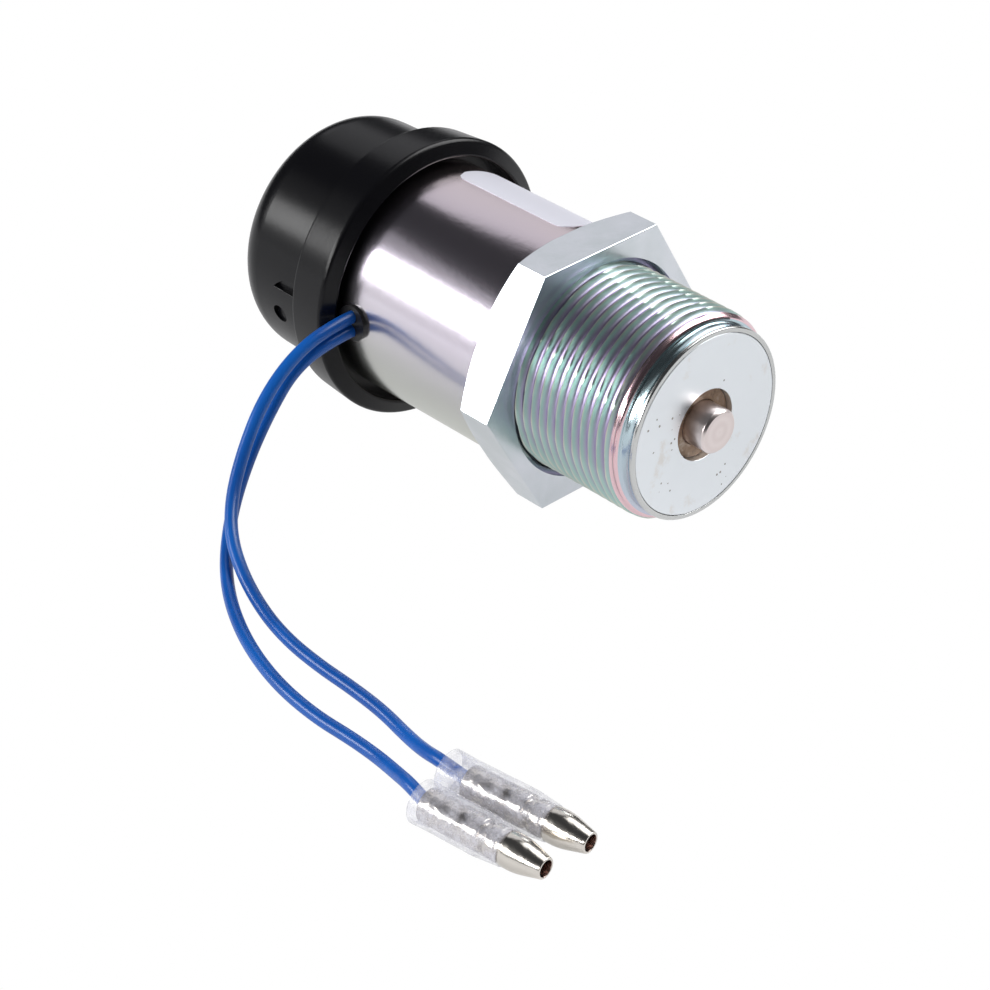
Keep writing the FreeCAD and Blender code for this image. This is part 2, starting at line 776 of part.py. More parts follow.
def axial_cylinder(name, radius):
    """A cylinder about the solenoid's axis, longer than the grommet is wide."""
    cylinder = doc.addObject("Part::Cylinder", name)
    cylinder.setExpression("Radius", bound(radius))
    cylinder.setExpression("Height", bound("4 * grommet_radius"))
    cylinder.Placement = FreeCAD.Placement(Vector(0, 0, 0), FreeCAD.Rotation(Vector(0, 1, 0), 90))
    cylinder.setExpression("Placement.Base.x", bound("-lead_setback - 2 * grommet_radius"))
    return cylinder


def boolean(kind, name, base, tool):
    result = doc.addObject("Part::" + kind, name)
    result.Base = base
    result.Tool = tool
    return result


def make_grommet():
    rise = "(tube_radius + grommet_rise)"
    disc = side_cylinder("grommet_disc", "grommet_radius", rise + " + 1", "lead_rise")
    crown = axial_cylinder("grommet_crown", rise)
    core = axial_cylinder("grommet_core", "tube_bore - grommet_foot")
    wall = boolean("Cut", "grommet_wall_ring", axial_cylinder("grommet_wall_outside", "tube_radius"),
                   axial_cylinder("grommet_wall_inside", "tube_bore - seat_gap"))
    shank = side_cylinder("grommet_shank_room", "grommet_shank", rise, "lead_rise")
    neck = boolean("Cut", "grommet_neck_ring", wall, shank)
    domed = boolean("Common", "grommet_domed", disc, crown)
    hollow = boolean("Cut", "grommet_hollow", domed, core)
    necked = boolean("Cut", "grommet_necked", hollow, neck)
    upper = side_cylinder("grommet_upper_bore", "lead_radius + seat_gap", rise + " + 2", UPPER_LEAD)
    lower = side_cylinder("grommet_lower_bore", "lead_radius + seat_gap", rise + " + 2", LOWER_LEAD)
    bored = boolean("Cut", "grommet_bored", necked, upper)
    grommet = boolean("Cut", "grommet", bored, lower)
    grommet.Label = "grommet"
    return grommet


def make_lead_joint(label, rise):
    """The soldered end of the winding that a lead's core is joined to."""
    joint = doc.addObject("Part::Cylinder", label)
    foot = "(winding_radius + wrap_thickness + seat_gap)"
    joint.setExpression("Radius", bound("joint_radius"))
    joint.setExpression("Height", bound("tube_bore - lead_tail - %s" % foot))
    joint.Placement = FreeCAD.Placement(Vector(0, 0, 0), FreeCAD.Rotation(Vector(1, 0, 0), 90))
    joint.setExpression("Placement.Base.x", bound("-lead_setback"))
    joint.setExpression("Placement.Base.y", bound("-" + foot))
    joint.setExpression("Placement.Base.z", bound(rise))
    return joint


# Connectors' places: where each sleeve's mouth lies on the ground, and its heading

LEAD_A_CONNECTOR = (32.3, -64.25, 7.2)
LEAD_B_CONNECTOR = (32.7, -57.8, 8.5)

# The connectors and the leads' routes are drawn for this place of the grommet and move with it

DRAWN_LEAD_SETBACK = 30.6
DRAWN_TUBE_RADIUS = 17.0
LEAD_SHIFT = Vector(DRAWN_LEAD_SETBACK - amount("lead_setback"), DRAWN_TUBE_RADIUS - amount("tube_radius"), 0)


def laid_connector(connector):
    """The place of a connector that lies on its sleeve's mouth and step."""
    across, along_y, heading = connector
    drop = math.degrees(math.atan2(amount("sleeve_mouth_radius - sleeve_radius"), amount("sleeve_step")))
    turned = FreeCAD.Rotation(Vector(0, 0, 1), heading).multiply(FreeCAD.Rotation(Vector(0, 1, 0), drop))
    mouth = Vector(across, along_y, amount(FLOOR + " + sleeve_mouth_radius")) + LEAD_SHIFT
    return FreeCAD.Placement(mouth, turned)


# Leads: two round wires that leave the grommet, hang to the floor and cross there once.
# Each runs from its joint in the case to the rear of its connector.

FLOOR_LEVEL = amount(FLOOR + " + lead_radius")

LEAD_A_ROUTE = [
    (-31.6, -27.2, -2.9),
    (-31.2, -32.0, -7.4),
    (-30.2, -36.6, -12.0),
    (-28.0, -41.4, -16.4),
    (-24.1, -46.0, -19.1),
    (-18.7, -50.5, FLOOR_LEVEL),
    (-12.1, -54.6, FLOOR_LEVEL),
    (-4.6, -57.9, FLOOR_LEVEL),
    (3.4, -60.1, FLOOR_LEVEL),
    (11.4, -60.9, FLOOR_LEVEL),
    (18.2, -60.5, FLOOR_LEVEL),
    (23.2, -60.9, FLOOR_LEVEL),
    (27.6, -62.5, -18.9),
]
LEAD_B_ROUTE = [
    (-30.8, -28.0, -0.3),
    (-30.2, -33.9, -4.4),
    (-28.6, -38.9, -9.5),
    (-26.0, -43.3, -13.7),
    (-21.9, -46.9, -16.5),
    (-16.3, -49.5, -18.5),
    (-9.8, -51.5, FLOOR_LEVEL),
    (-2.8, -53.2, FLOOR_LEVEL),
    (4.1, -53.8, FLOOR_LEVEL),
    (10.8, -53.8, FLOOR_LEVEL),
    (16.9, -54.2, FLOOR_LEVEL),
    (22.4, -54.9, FLOOR_LEVEL),
    (27.3, -56.1, -18.9),
]
EXIT_LENGTH = 4.5
ENTRY_LENGTH = 0.7
ARC_SHARE = 0.45


def rounded_path(points):
    """Straight runs joined by tangent arcs, and the arcs' radii."""
    edges = []
    radii = []
    start = points[0]
    for before, corner, after in zip(points, points[1:], points[2:]):
        inward = (before - corner).normalize()
        outward = (after - corner).normalize()
        reach = ARC_SHARE * min(corner.distanceToPoint(before), corner.distanceToPoint(after))
        half_turn = (math.pi - inward.getAngle(outward)) / 2
        radius = reach / math.tan(half_turn)
        first = corner + inward * reach
        last = corner + outward * reach
        bisector = (inward + outward).normalize()
        crown = corner + bisector * (radius / math.cos(half_turn) - radius)
        edges.append(Part.LineSegment(start, first).toShape())
        edges.append(Part.Arc(first, crown, last).toShape())
        radii.append(radius)
        start = last
    edges.append(Part.LineSegment(start, points[-1]).toShape())
    return Part.Wire(edges), radii


def make_lead(label, rise, route, connector):
    """A round wire from its joint, straight out of the grommet, along a route, into a connector."""
    setback = -amount("lead_setback")
    joint_end = Vector(setback, -amount("tube_bore - lead_tail"), amount(rise))
    grommet_exit = Vector(setback, -amount("tube_radius") - EXIT_LENGTH, amount(rise))
    laid = laid_connector(connector)
    mouth = laid.multVec(Vector(-ENTRY_LENGTH, 0, 0))
    crimp = laid.multVec(Vector(amount("lead_entry"), 0, 0))
    points = [joint_end, grommet_exit] + [Vector(*point) + LEAD_SHIFT for point in route] + [mouth, crimp]
    path, radii = rounded_path(points)
    section = Part.Wire(Part.makeCircle(amount("lead_radius"), joint_end, grommet_exit - joint_end))
    lead = doc.addObject("Part::Feature", label)
    lead.Shape = path.makePipeShell([section], True, False)
    full = math.pi * amount("lead_radius") ** 2 * path.Length
    print("%s: length %.1f mm, least radius %.1f mm, volume over section times length %.4f"
          % (label, path.Length, min(radii), lead.Shape.Volume / full))
    print("  radii", [round(radius, 1) for radius in radii])
    return lead


# Connectors: a nickel-plated bullet crimped to each lead, in a clear soft sleeve.
# Each is built along its own X axis from the sleeve's mouth and then laid in place.


def make_bullet(label, connector):
    body = new_body(label)
    barrel_end = "(lead_entry + barrel_length)"
    bead = "(%s + waist_length)" % barrel_end
    groove_start = "(%s + bead_length)" % bead
    nose = "(%s + groove_length)" % groove_start
    revolve(body, label + "_turning", [
        ("lead_entry", "0"),
        ("lead_entry", "barrel_radius"),
        (barrel_end, "barrel_radius"),
        (barrel_end, "waist_radius"),
        (bead, "waist_radius"),
        (bead, "barrel_radius"),
        (groove_start, "barrel_radius"),
        (groove_start, "groove_radius"),
        (nose, "groove_radius"),
        (nose, "bullet_radius"),
        ("bullet_length - bullet_taper", "bullet_radius"),
        ("bullet_length", "bullet_tip_radius"),
        ("bullet_length", "bullet_hole"),
        ("bullet_length - bullet_hole_depth", "bullet_hole"),
        ("bullet_length - bullet_hole_depth", "0"),
    ])
    body.Placement = laid_connector(connector)
    return body


def make_sleeve(label, connector, trim):
    body = new_body(label)
    bore = "(barrel_radius + seat_gap)"
    revolve(body, label + "_moulding", [
        (trim, "sleeve_mouth_radius - sleeve_mouth_wall"),
        (trim, "sleeve_mouth_radius"),
        (trim + " + sleeve_mouth_length", "sleeve_radius"),
        ("sleeve_step", "sleeve_radius"),
        ("sleeve_step + sleeve_step_length", "sleeve_nose_radius"),
        ("sleeve_length", "sleeve_nose_radius"),
        ("sleeve_length", bore),
        (trim + " + sleeve_funnel", bore),
    ])
    body.Placement = laid_connector(connector)
    return body


# Build, check and write each piece

PIECES = [
    make_case(),
    make_lock_nut(),
    make_nose_plate(),
    make_front_bush(),
    make_front_pole(),
    make_pole_seal(),
    make_stop_washer(),
    make_pin(),
    make_armature(),
    make_return_spring(),
    make_guide_tube(),
    make_rear_bumper(),
    make_spring_washer(),
    make_bobbin(),
    make_winding(),
    make_coil_wrap(),
    make_rear_plate(),
    make_rubber_boot(),
    make_grommet(),
    make_lead_joint("lead_joint_a", LOWER_LEAD),
    make_lead_joint("lead_joint_b", UPPER_LEAD),
    make_lead("lead_a", LOWER_LEAD, LEAD_A_ROUTE, LEAD_A_CONNECTOR),
    make_lead("lead_b", UPPER_LEAD, LEAD_B_ROUTE, LEAD_B_CONNECTOR),
    make_bullet("bullet_a", LEAD_A_CONNECTOR),
    make_bullet("bullet_b", LEAD_B_CONNECTOR),
    make_sleeve("sleeve_a", LEAD_A_CONNECTOR, "sleeve_trim"),
    make_sleeve("sleeve_b", LEAD_B_CONNECTOR, "0"),
]
doc.recompute()

for item in doc.Objects:
    if "Invalid" in item.State or "Error" in item.State:
        raise RuntimeError("%s did not build: %s" % (item.Name, item.State))

os.makedirs("parts", exist_ok=True)
for piece in PIECES:
    if piece.Shape.isNull() or not piece.Shape.isValid():
        raise RuntimeError(piece.Label + " has no valid shape")
    piece.Shape.exportStep("parts/%s.step" % piece.Label)
print("%d pieces" % len(PIECES))
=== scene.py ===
import math
import bpy
from mathutils import Matrix, Vector


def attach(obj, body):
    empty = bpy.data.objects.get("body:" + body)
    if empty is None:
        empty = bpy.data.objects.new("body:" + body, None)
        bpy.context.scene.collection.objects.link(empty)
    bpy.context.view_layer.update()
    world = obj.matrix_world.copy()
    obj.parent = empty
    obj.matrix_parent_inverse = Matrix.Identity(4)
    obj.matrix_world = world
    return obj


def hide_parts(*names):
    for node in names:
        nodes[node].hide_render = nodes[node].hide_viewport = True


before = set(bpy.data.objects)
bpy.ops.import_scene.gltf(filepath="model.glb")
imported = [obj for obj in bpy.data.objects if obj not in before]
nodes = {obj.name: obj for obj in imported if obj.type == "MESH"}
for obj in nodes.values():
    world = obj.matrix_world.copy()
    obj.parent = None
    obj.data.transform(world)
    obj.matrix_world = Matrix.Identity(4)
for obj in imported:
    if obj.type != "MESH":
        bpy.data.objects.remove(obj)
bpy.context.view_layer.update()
scene = bpy.context.scene


# Case: a turned steel case, zinc plated with an iridescent passivation. Its nose has a rounded
# lip, a hollow neck, a chamfer and a right-hand M30 x 1.5 thread, and its rear is rolled in.
# It lies along X with the nut's front face at 0. Sizes are in millimetres.

MM = 0.001
TAU = 2 * math.pi


def material(name, colour, roughness, metallic=0.0, **sockets):
    """A plain finish, its shader and its node tree."""
    made = bpy.data.materials.new(name)
    made.use_nodes = True
    shader = made.node_tree.nodes["Principled BSDF"]
    shader.inputs["Base Color"].default_value = (*colour, 1.0)
    shader.inputs["Roughness"].default_value = roughness
    shader.inputs["Metallic"].default_value = metallic
    for socket, value in sockets.items():
        shader.inputs[socket.replace("_", " ")].default_value = value
    return made, shader, made.node_tree


def add_node(tree, kind, **values):
    """A node of that kind, with its attributes set and its named inputs filled or joined."""
    node = tree.nodes.new(kind)
    inputs = values.pop("inputs", {})
    for name, value in values.items():
        setattr(node, name, value)
    for name, value in inputs.items():
        if isinstance(value, bpy.types.NodeSocket):
            tree.links.new(value, node.inputs[name])
        else:
            node.inputs[name].default_value = value
    return node


def number(tree, operation, first, second=0.0):
    """One sum of two numbers or sockets."""
    return add_node(tree, "ShaderNodeMath", operation=operation, inputs={0: first, 1: second}).outputs[0]


def ramp(tree, factor, stops):
    """A run of colours along a factor: stops are (place, (red, green, blue))."""
    node = add_node(tree, "ShaderNodeValToRGB", inputs={"Fac": factor})
    node.color_ramp.interpolation = "EASE"
    keys = node.color_ramp.elements
    while len(keys) < len(stops):
        keys.new(0.5)
    for key, (place, colour) in zip(keys, stops):
        key.position = place
        key.color = (*colour, 1.0)
    return node.outputs["Color"]


def blended(tree, factor, first, second):
    """Two colours mixed by a factor."""
    node = add_node(tree, "ShaderNodeMix", data_type="RGBA", inputs={0: factor})
    for place, value in ((6, first), (7, second)):
        if isinstance(value, bpy.types.NodeSocket):
            tree.links.new(value, node.inputs[place])
        else:
            node.inputs[place].default_value = (*value, 1.0)
    return node.outputs[2]


def spread(tree, value, low, high, start=0.0, end=1.0):
    """A value that runs from start to end, spread from low to high."""
    inputs = {"Value": value, "From Min": start, "From Max": end, "To Min": low, "To Max": high}
    return add_node(tree, "ShaderNodeMapRange", inputs=inputs).outputs[0]


def node_group(name, inputs, outputs):
    """A shader group with named sockets, and the sockets inside it."""
    group = bpy.data.node_groups.new(name, "ShaderNodeTree")
    for socket, kind in inputs:
        group.interface.new_socket(name=socket, in_out="INPUT", socket_type=kind)
    for socket in outputs:
        group.interface.new_socket(name=socket, in_out="OUTPUT", socket_type="NodeSocketFloat")
    return group, group.nodes.new("NodeGroupInput").outputs, group.nodes.new("NodeGroupOutput").inputs


# Grain: the uneven skin of plating, rubber and metal, which can be drawn out along an axis

grain_group, grain_in, grain_out = node_group("grain", [
    ("Scale", "NodeSocketFloat"), ("Detail", "NodeSocketFloat"), ("Roughness", "NodeSocketFloat"),
    ("Stretch", "NodeSocketVector")], ["Grain"])
grain_place = add_node(grain_group, "ShaderNodeMapping", inputs={
    "Vector": add_node(grain_group, "ShaderNodeTexCoord").outputs["Object"], "Scale": grain_in["Stretch"]})
grain_noise = add_node(grain_group, "ShaderNodeTexNoise", inputs={
    "Vector": grain_place.outputs[0], "Scale": grain_in["Scale"], "Detail": grain_in["Detail"],
    "Roughness": grain_in["Roughness"]})
grain_group.links.new(grain_noise.outputs["Fac"], grain_out["Grain"])


def grain(tree, scale, detail=2.0, roughness=0.5, stretch=(1, 1, 1)):
    """Places the grain in a material with its own values."""
    inputs = {"Scale": scale, "Detail": detail, "Roughness": roughness, "Stretch": stretch}
    return add_node(tree, "ShaderNodeGroup", node_tree=grain_group, inputs=inputs).outputs["Grain"]


def bumped(tree, shader, height, strength, distance=0.0001):
    """Lets a height field tilt the shader's normals."""
    inputs = {"Height": height, "Strength": strength, "Distance": distance}
    node = add_node(tree, "ShaderNodeBump", inputs=inputs)
    tree.links.new(node.outputs[0], shader.inputs["Normal"])


# Place on a turned body: turns about X from the top, radius, and place along X in millimetres

axis_group, _, axis_out = node_group("around_axis", [], ["Turns", "Radius", "Along"])
axis_place = add_node(axis_group, "ShaderNodeSeparateXYZ", inputs={
    0: add_node(axis_group, "ShaderNodeTexCoord").outputs["Object"]})
axis_x, axis_y, axis_z = axis_place.outputs
axis_side = number(axis_group, "MULTIPLY", axis_y, -1.0)
axis_square = number(axis_group, "ADD", number(axis_group, "POWER", axis_y, 2.0),
                     number(axis_group, "POWER", axis_z, 2.0))
axis_sums = {
    "Turns": number(axis_group, "DIVIDE", number(axis_group, "ARCTAN2", axis_side, axis_z), TAU),
    "Radius": number(axis_group, "DIVIDE", number(axis_group, "SQRT", axis_square), MM),
    "Along": number(axis_group, "DIVIDE", axis_x, MM),
}
for axis_name, axis_sum in axis_sums.items():
    axis_group.links.new(axis_sum, axis_out[axis_name])


def around_axis(tree):
    """Places the group in a material and gives its turns, radius and place along the axis."""
    return add_node(tree, "ShaderNodeGroup", node_tree=axis_group).outputs


THREAD_PITCH = 1.5
THREAD_CREST = 15.0
THREAD_DEPTH = 0.85
CREST_END = 16.05
CHAMFER_END = 17.25
CHAMFER_RADIUS = 14.3
ROOT_RADIUS = 14.2
NECK_RADIUS = 13.4
LIP_RADIUS = 13.72
LIP_BORE = 12.98
NOSE_END = 19.55
LIP_LENGTH = 0.45
MOUTH_BORE = 13.25
PLATE_SEAT = 16.55
CHAMBER_BORE = 11.85
TUBE_RADIUS = 17.0
TUBE_BORE = 15.2
TUBE_FRONT = -6.9
TUBE_REAR = -46.45
FRONT_WALL = 2.2
ROLLED_WALL = 1.5
ROLLED_BORE = 13.9
THREAD_ROWS = 14
CASE_COLUMNS = 320

case_zinc, case_shader, case_tree = material("yellow_zinc", (0.8, 0.76, 0.74), 0.20, metallic=1.0)
turns, radius, along = around_axis(case_tree)
cloud = number(case_tree, "SUBTRACT", grain(case_tree, 55.0, 3.0, 0.55, (0.45, 1, 1)), 0.5)
film = number(case_tree, "ADD", turns, number(case_tree, "MULTIPLY", cloud, 0.09))
film = number(case_tree, "ADD", film, 0.5)
tube_colours = ramp(case_tree, film, [
    (0.0, (0.80, 0.73, 0.64)), (0.35, (0.82, 0.68, 0.66)), (0.65, (0.74, 0.68, 0.78)),
    (0.85, (0.72, 0.74, 0.68)), (1.0, (0.80, 0.73, 0.64)),
])
thread_depth = number(case_tree, "SUBTRACT", THREAD_CREST, radius)
# The thread's film colour runs from a yellowish crest through teal to purple at the root. The darker roots
# are painted shade in the grooves.
thread_film_and_root_shade = ramp(case_tree, number(case_tree, "ADD", thread_depth, 0.02), [
    (0.0, (0.72, 0.70, 0.62)), (0.35, (0.44, 0.62, 0.58)), (1.0, (0.40, 0.30, 0.50)),
])
neck_colours = ramp(case_tree, film, [
    (0.0, (0.60, 0.60, 0.72)), (0.6, (0.54, 0.70, 0.74)), (1.0, (0.60, 0.60, 0.72)),
])
past_crests = number(case_tree, "GREATER_THAN", along, CREST_END + 0.05)
on_chamfer = number(case_tree, "MULTIPLY", past_crests,
                    number(case_tree, "LESS_THAN", along, CHAMFER_END + 0.1))
in_front_of_tube = number(case_tree, "GREATER_THAN", along, TUBE_FRONT + 0.2)
on_lip = number(case_tree, "GREATER_THAN", along, NOSE_END - 0.57)
case_colours = blended(case_tree, on_chamfer, neck_colours, (0.88, 0.62, 0.66))
case_colours = blended(case_tree, past_crests, thread_film_and_root_shade, case_colours)
case_colours = blended(case_tree, in_front_of_tube, tube_colours, case_colours)
case_colours = blended(case_tree, on_lip, case_colours, (0.66, 0.67, 0.66))
case_tree.links.new(case_colours, case_shader.inputs["Base Color"])
on_thread = number(case_tree, "MULTIPLY", in_front_of_tube,
                   number(case_tree, "LESS_THAN", along, CREST_END + 0.05))
case_tree.links.new(spread(case_tree, on_thread, 0.20, 0.37), case_shader.inputs["Roughness"])
bumped(case_tree, case_shader, grain(case_tree, 900.0, 3.0, 0.7), 0.14)


def eased(outline, closed=False):
    """An outline of (along, radius, rounding) with each rounded corner turned into a short arc."""
    eased_outline = []
    for i, corner in enumerate(outline):
        here = Vector(corner[:2])
        size = corner[2] if len(corner) > 2 else 0.0
        at_end = not closed and i in (0, len(outline) - 1)
        if size == 0.0 or at_end:
            eased_outline.append(tuple(here))
            continue
        before = (Vector(outline[i - 1][:2]) - here).normalized()
        after = (Vector(outline[(i + 1) % len(outline)][:2]) - here).normalized()
        first, last = here + before * size, here + after * size
        for step in range(6):
            t = step / 5
            place = first * (1 - t) ** 2 + here * 2 * t * (1 - t) + last * t ** 2
            eased_outline.append(tuple(place))
    return eased_outline


def ring_faces(rows, columns):
    """Four-cornered faces between rings of vertices, and from the last ring to the first."""
    faces = []
    for first, second in zip(rows, rows[1:] + rows[:1]):
        for step in range(columns):
            after = (step + 1) % columns
            faces.append((first + step, first + after, second + after, second + step))
    return faces


def shown(name, vertices, faces, finish, sharp=32.0, place=None):
    """A mesh object with smooth faces that keeps its sharp edges."""
    mesh = bpy.data.meshes.new(name)
    mesh.from_pydata([tuple(c * MM for c in v) for v in vertices], [], faces)
    mesh.validate()
    mesh.shade_smooth()
    mesh.set_sharp_from_angle(angle=math.radians(sharp))
    mesh.materials.append(finish)
    made = bpy.data.objects.new(name, mesh)
    scene.collection.objects.link(made)
    if place is not None:
        made.matrix_world = place
    return made


def thread_radius(along, angle):
    """Rounded roots and narrow crests of a right-hand thread, cut back by the nose chamfer."""
    turn = (along / THREAD_PITCH - angle / TAU) % 1.0
    from_crest = abs(turn - 0.5) * 2
    depth = THREAD_DEPTH * math.sin(min(1.0, (1 - from_crest) * 1.12) * math.pi / 2) ** 0.85
    slope = (THREAD_CREST - CHAMFER_RADIUS) / (CHAMFER_END - CREST_END)
    chamfer = CHAMFER_RADIUS + (CHAMFER_END - along) * slope
    return min(THREAD_CREST - depth, max(14.0, chamfer))


def threaded_case():
    """The whole case as one closed skin, with a fine grid only where the thread is."""
    nose_mouth = eased([
        (PLATE_SEAT, CHAMBER_BORE), (PLATE_SEAT, MOUTH_BORE), (NOSE_END - 0.65, MOUTH_BORE),
        (NOSE_END, LIP_BORE, 0.1), (NOSE_END, LIP_RADIUS, 0.3), (NOSE_END - LIP_LENGTH, LIP_RADIUS, 0.12),
        (18.85, 13.52, 0.2), (18.0, NECK_RADIUS, 0.5), (17.5, 13.62, 0.22), (17.3, ROOT_RADIUS, 0.08)])
    tube = eased([
        (-6.6, ROOT_RADIUS), (TUBE_FRONT, ROOT_RADIUS), (TUBE_FRONT, TUBE_RADIUS, 0.25),
        (TUBE_REAR, TUBE_RADIUS, 0.7), (TUBE_REAR, ROLLED_BORE), (TUBE_REAR + ROLLED_WALL, ROLLED_BORE),
        (TUBE_REAR + ROLLED_WALL, TUBE_BORE), (TUBE_FRONT - FRONT_WALL, TUBE_BORE),
        (TUBE_FRONT - FRONT_WALL, CHAMBER_BORE)])
    thread_front, thread_rear = 17.2, -6.55
    count = int((thread_front - thread_rear) / THREAD_PITCH * THREAD_ROWS)
    vertices, rows = [], []

    def add_row(along, radius_at):
        rows.append(len(vertices))
        for step in range(CASE_COLUMNS):
            angle = TAU * step / CASE_COLUMNS
            radius = radius_at(along, angle)
            vertices.append((along, radius * math.cos(angle), radius * math.sin(angle)))

    for along, radius in nose_mouth:
        add_row(along, lambda *_: radius)
    for i in range(count + 1):
        add_row(thread_front + (thread_rear - thread_front) * i / count, thread_radius)
    for along, radius in tube:
        add_row(along, lambda *_: radius)
    return shown("threaded_case", vertices, ring_faces(rows, CASE_COLUMNS), case_zinc, 40.0)


case = threaded_case()
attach(case, "housing")
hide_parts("case")


# Foil patch: thin silvery foil with rounded corners, glued round the top of the case from the
# leads' side to the far side.

FOIL_FRONT = -8.95
FOIL_REAR = -30.45
FOIL_NEAR = math.radians(-5.9)
FOIL_FAR = math.radians(-121.0)
FOIL_FACE = 17.09
FOIL_BACK = 17.005
FOIL_CORNER = 2.0
FOIL_ROWS = 30
FOIL_COLUMNS = 90

plate_foil, foil_shader, foil_tree = material("foil", (0.71, 0.71, 0.79), 0.45)
bumped(foil_tree, foil_shader, grain(foil_tree, 500.0), 0.05)


def foil_patch():
    """A thin curved sheet with a face, a back and four edges."""
    vertices, faces = [], []
    for i in range(FOIL_ROWS + 1):
        along = FOIL_FRONT + (FOIL_REAR - FOIL_FRONT) * i / FOIL_ROWS
        inset = 0.0
        edge = min(abs(along - FOIL_FRONT), abs(along - FOIL_REAR))
        if edge < FOIL_CORNER:
            cut = FOIL_CORNER - math.sqrt(FOIL_CORNER ** 2 - (FOIL_CORNER - edge) ** 2)
            inset = cut / FOIL_FACE
        for j in range(FOIL_COLUMNS + 1):
            angle = FOIL_NEAR - inset + (FOIL_FAR + 2 * inset - FOIL_NEAR) * j / FOIL_COLUMNS
            for level in (FOIL_FACE, FOIL_BACK):
                vertices.append((along, -level * math.sin(angle), level * math.cos(angle)))
    across = 2 * (FOIL_COLUMNS + 1)
    for i in range(FOIL_ROWS):
        for j in range(FOIL_COLUMNS):
            a = i * across + 2 * j
            faces.append((a, a + 2, a + across + 2, a + across))
        for j in (0, FOIL_COLUMNS):
            a = i * across + 2 * j
            faces.append((a, a + across, a + across + 1, a + 1))
    for i in (0, FOIL_ROWS):
        for j in range(FOIL_COLUMNS):
            a = i * across + 2 * j
            faces.append((a, a + 1, a + 3, a + 2))
    return shown("bare_plate", vertices, faces, plate_foil, 40.0)


foil = foil_patch()
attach(foil, "housing")


# Coil: copper winding on a nylon bobbin under a wrap of tape, with its ends soldered to the
# leads. These pieces and those of the next three sections keep their CAD shapes.


def finished(names, finish):
    """Gives CAD pieces their real finish."""
    for name in names:
        nodes[name].data.materials.clear()
        nodes[name].data.materials.append(finish)


def cad_finish(names, title, colour, roughness, grain_scale, metallic=0.0):
    """Makes a plain finish with a fine grain and gives it to CAD pieces."""
    finish, shader, tree = material(title, colour, roughness, metallic)
    bumped(tree, shader, grain(tree, grain_scale, 3.0, 0.6), 0.12)
    finished(names, finish)


cad_finish(["bobbin"], "natural_nylon", (0.74, 0.70, 0.58), 0.45, 200.0)
cad_finish(["winding"], "enamelled_copper", (0.60, 0.22, 0.08), 0.24, 900.0, metallic=0.9)
cad_finish(["coil_wrap"], "polyester_tape", (0.70, 0.52, 0.18), 0.35, 250.0)
cad_finish(["lead_joint_a", "lead_joint_b"], "solder", (0.62, 0.60, 0.58), 0.36, 900.0, metallic=1.0)


# Magnetic circuit: a turned pole behind the nose plate, the armature that the pin is pressed
# into, and a ring at the rear, all of soft iron.

cad_finish(["front_pole", "armature", "rear_plate"], "soft_iron", (0.56, 0.56, 0.58), 0.34, 300.0,
           metallic=1.0)


# Guide and springs: a drawn brass tube that the armature slides in with a thin brass washer
# against sticking, the return spring, and the conical washer that holds the coil tight.

cad_finish(["guide_tube", "stop_washer"], "drawn_brass", (0.75, 0.56, 0.26), 0.28, 350.0, metallic=1.0)
cad_finish(["return_spring", "spring_washer"], "spring_wire", (0.46, 0.46, 0.48), 0.26, 500.0, metallic=1.0)


# Inner rubber: a ring seal round the pole, and a disc in the closed end of the guide tube that
# the armature rests against.

cad_finish(["pole_seal", "rear_bumper"], "black_nitrile", (0.015, 0.015, 0.015), 0.5, 600.0)


# Nose plate: a zinc-plated steel disc let into the case's lip, stained and specked from
# handling. The pin comes out through its hole.

PLATE_BORE = 5.13
PLATE_EDGE = 13.2

plate_zinc, plate_shader, plate_tree = material("plate_zinc", (0.82, 0.85, 0.88), 0.33, metallic=1.0)
stain_colour = ramp(plate_tree, grain(plate_tree, 160.0, 5.0, 0.65), [
    (0.30, (0.80, 0.79, 0.77)), (0.44, (0.88, 0.92, 0.95)), (1.0, (0.91, 0.95, 0.98))])
specks = add_node(plate_tree, "ShaderNodeTexVoronoi", inputs={
    "Vector": add_node(plate_tree, "ShaderNodeTexCoord").outputs["Object"], "Scale": 900.0})
in_speck = number(plate_tree, "LESS_THAN", specks.outputs["Distance"], 0.16)
speck_mask = number(plate_tree, "MULTIPLY", in_speck,
                    number(plate_tree, "GREATER_THAN", grain(plate_tree, 140.0), 0.56))
plate_tree.links.new(blended(plate_tree, speck_mask, stain_colour, (0.32, 0.30, 0.28)),
                     plate_shader.inputs["Base Color"])
bumped(plate_tree, plate_shader, grain(plate_tree, 700.0, 4.0, 0.7), 0.12)


def turned(name, outline, finish, steps=192, closed=False, place=None):
    """A solid of revolution about X. A place with no radius is one point on the axis."""
    vertices = []
    rows = []
    for along, radius in eased(outline, closed):
        if radius < 1e-6:
            rows.append([len(vertices)] * steps)
            vertices.append((along, 0.0, 0.0))
        else:
            rows.append(list(range(len(vertices), len(vertices) + steps)))
            for step in range(steps):
                angle = TAU * step / steps
                vertices.append((along, radius * math.cos(angle), radius * math.sin(angle)))
    faces = []
    next_rows = rows[1:] + rows[:1] if closed else rows[1:]
    for first, second in zip(rows, next_rows):
        for step in range(steps):
            after = (step + 1) % steps
            corners = [first[step], first[after], second[after], second[step]]
            face = [c for k, c in enumerate(corners) if c != corners[k - 1]]
            if len(face) > 2:
                faces.append(face)
    return shown(name, vertices, faces, finish, place=place)


nose_plate = turned("nose_disc", [
    (PLATE_SEAT, PLATE_BORE), (NOSE_END, PLATE_BORE, 0.12), (NOSE_END, PLATE_EDGE - 0.3, 0.08),
    (NOSE_END - 0.6, PLATE_EDGE, 0.1), (PLATE_SEAT, PLATE_EDGE)], plate_zinc, closed=True)
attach(nose_plate, "housing")
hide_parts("nose_plate")


# Front bush: sintered bronze, dark with oil, pressed into the nose plate's hole and set back
# from its face. It guides the pin.

